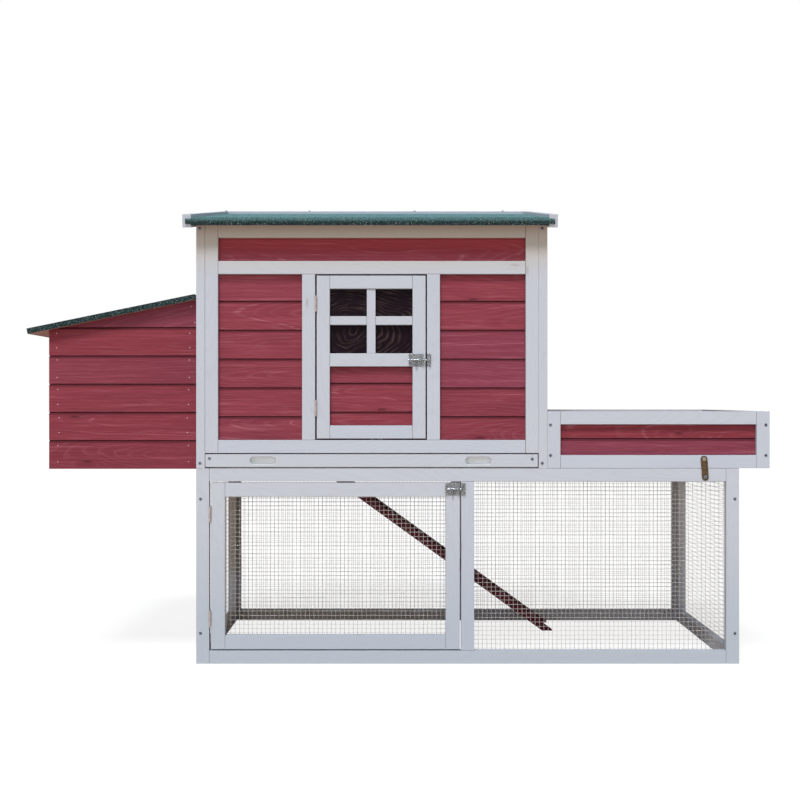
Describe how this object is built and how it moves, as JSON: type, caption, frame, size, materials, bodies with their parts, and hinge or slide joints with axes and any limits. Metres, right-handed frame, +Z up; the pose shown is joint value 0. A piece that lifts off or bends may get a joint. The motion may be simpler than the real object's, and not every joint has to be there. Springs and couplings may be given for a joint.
{
  "type": "chicken coop",
  "caption": "raised wooden hen house over a wire run, with a hinged nest box, pull-out tray, ramp and planter",
  "frame": {"origin": "on the ground, at the middle of the bottom of the whole coop", "axes": "+X to the right along the front, +Y to the back, +Z up"},
  "size_m": [1.7055, 0.7132, 1.1283],
  "materials": {
    "white_painted_wood": "satin",
    "red_stained_wood": "matte",
    "bare_pine": "matte",
    "roof_board": "matte",
    "green_roofing_felt": "matte",
    "galvanised_mesh": "satin",
    "zinc_hardware": "satin",
    "screw_steel": "satin",
    "bronze_catch": "satin",
    "galvanised_pan": "satin",
    "clear_acrylic": "gloss"
  },
  "bodies": {
    "root": {"bolt_keepers": "zinc_hardware", "fixed_hinge_leaves": "zinc_hardware", "floor_supports": "bare_pine", "frame_screws": "screw_steel", "hinge_pins": "zinc_hardware", "house_back_frame": "white_painted_wood", "house_back_siding": "red_stained_wood", "house_corner_posts": "white_painted_wood", "house_floor": "bare_pine", "house_front_frame": "white_painted_wood", "house_front_siding": "red_stained_wood", "house_left_frame": "white_painted_wood", "house_left_siding": "red_stained_wood", "house_right_frame": "white_painted_wood", "house_right_siding": "red_stained_wood", "nest_battens": "bare_pine", "nest_divider": "bare_pine", "nest_floor": "bare_pine", "nest_walls": "red_stained_wood", "perch_bars": "bare_pine", "perch_blocks": "bare_pine", "planter_floor": "bare_pine", "planter_frame": "white_painted_wood", "planter_siding": "red_stained_wood", "ramp_rod": "zinc_hardware", "ramp_rod_blocks": "bare_pine", "roof_battens": "bare_pine", "roof_felt": "green_roofing_felt", "roof_panel": "roof_board", "roof_trim": "white_painted_wood", "run_back_frame": "white_painted_wood", "run_back_mesh": "galvanised_mesh", "run_cross_rail": "white_painted_wood", "run_front_frame": "white_painted_wood", "run_front_mesh": "galvanised_mesh", "run_left_frame": "white_painted_wood", "run_right_frame": "white_painted_wood", "run_side_mesh": "galvanised_mesh"},
    "house_door": {"house_door_frame": "white_painted_wood", "window_pane": "clear_acrylic", "house_door_infill": "red_stained_wood", "house_door_hinge_leaves": "zinc_hardware", "house_bolt_plate": "zinc_hardware"},
    "house_bolt": {"house_bolt_rod": "zinc_hardware"},
    "run_door": {"run_door_frame": "white_painted_wood", "run_door_mesh": "galvanised_mesh", "run_door_hinge_leaves": "zinc_hardware", "run_bolt_plate": "zinc_hardware"},
    "run_bolt": {"run_bolt_rod": "zinc_hardware"},
    "tray": {"tray_front": "white_painted_wood", "tray_pan": "galvanised_pan", "tray_screws": "screw_steel"},
    "nest_lid": {"nest_lid_board": "roof_board", "nest_lid_felt": "green_roofing_felt", "nest_lid_hinge_leaves": "zinc_hardware"},
    "ramp": {"ramp_rails": "red_stained_wood", "ramp_board": "red_stained_wood", "ramp_cleats": "red_stained_wood", "ramp_hooks": "zinc_hardware"},
    "planter_catch": {"planter_catch": "bronze_catch"}
  },
  "joints": [
    {"name": "house_door", "type": "hinge", "parent": "root", "child": "house_door", "pos_m": [-0.18825, -0.3227, 0.706], "axis": [0, 0, -1], "range_deg": [0, 160]},
    {"name": "house_bolt", "type": "slide", "parent": "house_door", "child": "house_bolt", "axis": [1, 0, 0], "range_m": [-0.009, 0.0075]},
    {"name": "run_door", "type": "hinge", "parent": "root", "child": "run_door", "pos_m": [-0.431, -0.3227, 0.223], "axis": [0, 0, -1], "range_deg": [0, 165]},
    {"name": "run_bolt", "type": "slide", "parent": "run_door", "child": "run_bolt", "axis": [1, 0, 0], "range_m": [-0.008, 0.0075]},
    {"name": "tray", "type": "slide", "parent": "root", "child": "tray", "axis": [0, -1, 0], "range_m": [0, 0.4]},
    {"name": "nest_lid", "type": "hinge", "parent": "root", "child": "nest_lid", "pos_m": [-0.4668, 0.01, 0.85094], "axis": [0, 1, 0], "range_deg": [0, 80]},
    {"name": "ramp", "type": "hinge", "parent": "root", "child": "ramp", "pos_m": [-0.21607, 0.2165, 0.443], "axis": [0, -1, 0], "range_deg": [0, 28]},
    {"name": "planter_catch", "type": "hinge", "parent": "root", "child": "planter_catch", "pos_m": [0.705, -0.3213, 0.428], "axis": [0, 1, 0], "range_deg": [-90, 90]}
  ]
}
